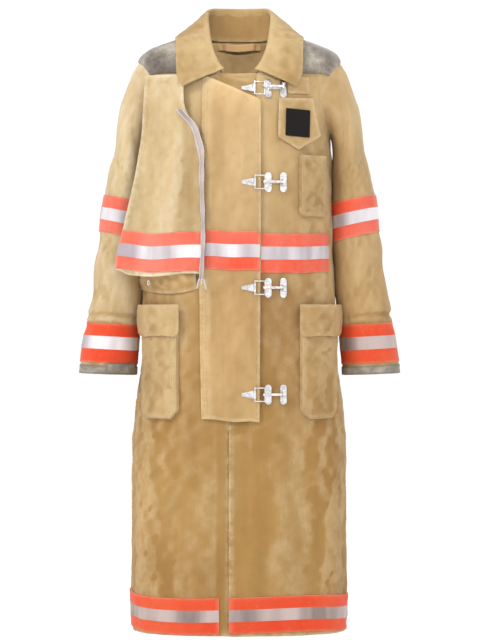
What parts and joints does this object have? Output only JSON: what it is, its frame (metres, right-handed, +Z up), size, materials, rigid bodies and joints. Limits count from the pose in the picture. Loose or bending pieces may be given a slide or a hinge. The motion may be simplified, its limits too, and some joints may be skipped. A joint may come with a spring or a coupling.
{
  "type": "turnout coat",
  "caption": "Long firefighter's coat with storm flap, hook-and-dee clasps, reflective trim, pockets with lifting flaps and swinging sleeves.",
  "frame": {"origin": "middle of the hang loop inside the back of the neck", "axes": "+Z up along the coat's length, the front faces -Y, +X is the wearer's left"},
  "size_m": [0.6464, 0.3062, 1.2471],
  "materials": {
    "tan_cloth": "washed canvas",
    "lining_cloth": "plain twill",
    "collar_cloth": "washed canvas",
    "suede": "worn suede",
    "orange_trim": "woven reflective trim",
    "nickel": "polished nickel",
    "hook_black": "hook and loop",
    "tape": "piped tape"
  },
  "bodies": {
    "coat": {"back_panel": "tan_cloth", "front_right": "tan_cloth", "front_left": "tan_cloth", "underlap": "tan_cloth", "body_lining": "lining_cloth", "storm_flap": "tan_cloth", "throat_piece": "collar_cloth", "collar_stand": "collar_cloth", "collar_fall": "collar_cloth", "yoke_right": "suede", "yoke_left": "suede", "hang_loop": "lining_cloth", "cape_panel": "tan_cloth", "pouch": "tan_cloth", "pouch_eyelet": "nickel", "edge_tape": "tape", "chest_band_cape": "orange_trim", "chest_band_flap": "orange_trim", "chest_band_left": "orange_trim", "chest_band_back": "orange_trim", "hem_band_right": "orange_trim", "hem_band_left": "orange_trim", "hem_band_back": "orange_trim", "pocket_right": "tan_cloth", "pocket_left": "tan_cloth", "radio_pocket": "tan_cloth", "tab_strap": "tan_cloth", "clasp_rivets": "nickel", "dee_plate_1": "nickel", "dee_plate_2": "nickel", "dee_plate_3": "nickel", "dee_plate_4": "nickel", "hook_base_1": "nickel", "hook_base_2": "nickel", "hook_base_3": "nickel", "hook_base_4": "nickel"},
    "pocket_flap_right": {"pocket_flap_right": "tan_cloth"},
    "pocket_flap_left": {"pocket_flap_left": "tan_cloth"},
    "mic_tab": {"mic_tab": "tan_cloth", "hook_patch": "hook_black"},
    "sleeve_right": {"sleeve_right": "tan_cloth", "sleeve_lining_right": "lining_cloth", "upper_band_right": "orange_trim", "cuff_band_right": "orange_trim", "cuff_binding_right": "suede"},
    "sleeve_left": {"sleeve_left": "tan_cloth", "sleeve_lining_left": "lining_cloth", "upper_band_left": "orange_trim", "cuff_band_left": "orange_trim", "cuff_binding_left": "suede"},
    "cuff_tab": {"cuff_tab": "suede"},
    "dee_ring_1": {"dee_ring_1": "nickel"},
    "hook_lever_1": {"hook_lever_1": "nickel"},
    "dee_ring_2": {"dee_ring_2": "nickel"},
    "hook_lever_2": {"hook_lever_2": "nickel"},
    "dee_ring_3": {"dee_ring_3": "nickel"},
    "hook_lever_3": {"hook_lever_3": "nickel"},
    "dee_ring_4": {"dee_ring_4": "nickel"},
    "hook_lever_4": {"hook_lever_4": "nickel"}
  },
  "joints": [
    {"name": "pocket_flap_right_lift", "type": "hinge", "parent": "coat", "child": "pocket_flap_right", "pos_m": [-0.17182, -0.15863, -0.5215], "axis": [-0.7247, 0.689, 0], "range_deg": [0, 100]},
    {"name": "pocket_flap_left_lift", "type": "hinge", "parent": "coat", "child": "pocket_flap_left", "pos_m": [0.17182, -0.15863, -0.5215], "axis": [-0.7247, -0.689, 0], "range_deg": [0, 100]},
    {"name": "mic_tab_lift", "type": "hinge", "parent": "coat", "child": "mic_tab", "pos_m": [0.11703, -0.15082, -0.111], "axis": [-0.9397, -0.342, 0], "range_deg": [0, 75]},
    {"name": "sleeve_right_swing", "type": "hinge", "parent": "coat", "child": "sleeve_right", "pos_m": [-0.203, -0.056, -0.04], "axis": [0, 1, 0], "range_deg": [0, 35]},
    {"name": "sleeve_left_swing", "type": "hinge", "parent": "coat", "child": "sleeve_left", "pos_m": [0.203, -0.056, -0.04], "axis": [0, -1, 0], "range_deg": [0, 35]},
    {"name": "cuff_tab_peel", "type": "hinge", "parent": "sleeve_right", "child": "cuff_tab", "pos_m": [-0.21127, -0.0836, -0.65176], "axis": [0.0536, 0, 0.9986], "range_deg": [0, 45]},
    {"name": "dee_ring_1_turn", "type": "hinge", "parent": "coat", "child": "dee_ring_1", "pos_m": [0.03004, -0.19938, -0.69997], "axis": [0.0002, -0.0118, -0.9999], "range_deg": [0, 3]},
    {"name": "dee_ring_2_turn", "type": "hinge", "parent": "coat", "child": "dee_ring_2", "pos_m": [0.03005, -0.19649, -0.49096], "axis": [0.0003, -0.0168, -0.9999], "range_deg": [0, 3]},
    {"name": "dee_ring_3_turn", "type": "hinge", "parent": "coat", "child": "dee_ring_3", "pos_m": [0.03005, -0.19301, -0.28395], "axis": [0.0004, -0.0196, -0.9998], "range_deg": [0, 3]},
    {"name": "dee_ring_4_turn", "type": "hinge", "parent": "coat", "child": "dee_ring_4", "pos_m": [0.03003, -0.16568, -0.09722], "axis": [0.0043, -0.2984, -0.9544], "range_deg": [0, 3]},
    {"name": "hook_lever_1_lift", "type": "hinge", "parent": "coat", "child": "hook_lever_1", "pos_m": [0.08787, -0.19717, -0.69974], "axis": [-0.0027, 0.0185, 0.9998], "range_deg": [0, 20], "stiffness_Nm_per_rad": 0.03, "springref_deg": -2.86},
    {"name": "hook_lever_2_lift", "type": "hinge", "parent": "coat", "child": "hook_lever_2", "pos_m": [0.08813, -0.19329, -0.4907], "axis": [-0.0036, 0.0212, 0.9998], "range_deg": [0, 20], "stiffness_Nm_per_rad": 0.03, "springref_deg": -2.86},
    {"name": "hook_lever_3_lift", "type": "hinge", "parent": "coat", "child": "hook_lever_3", "pos_m": [0.08832, -0.18912, -0.28372], "axis": [-0.0036, 0.0193, 0.9998], "range_deg": [0, 20], "stiffness_Nm_per_rad": 0.03, "springref_deg": -2.86},
    {"name": "hook_lever_4_lift", "type": "hinge", "parent": "coat", "child": "hook_lever_4", "pos_m": [0.08762, -0.16367, -0.09406], "axis": [-0.0366, 0.2792, 0.9595], "range_deg": [0, 20], "stiffness_Nm_per_rad": 0.03, "springref_deg": -2.86}
  ]
}
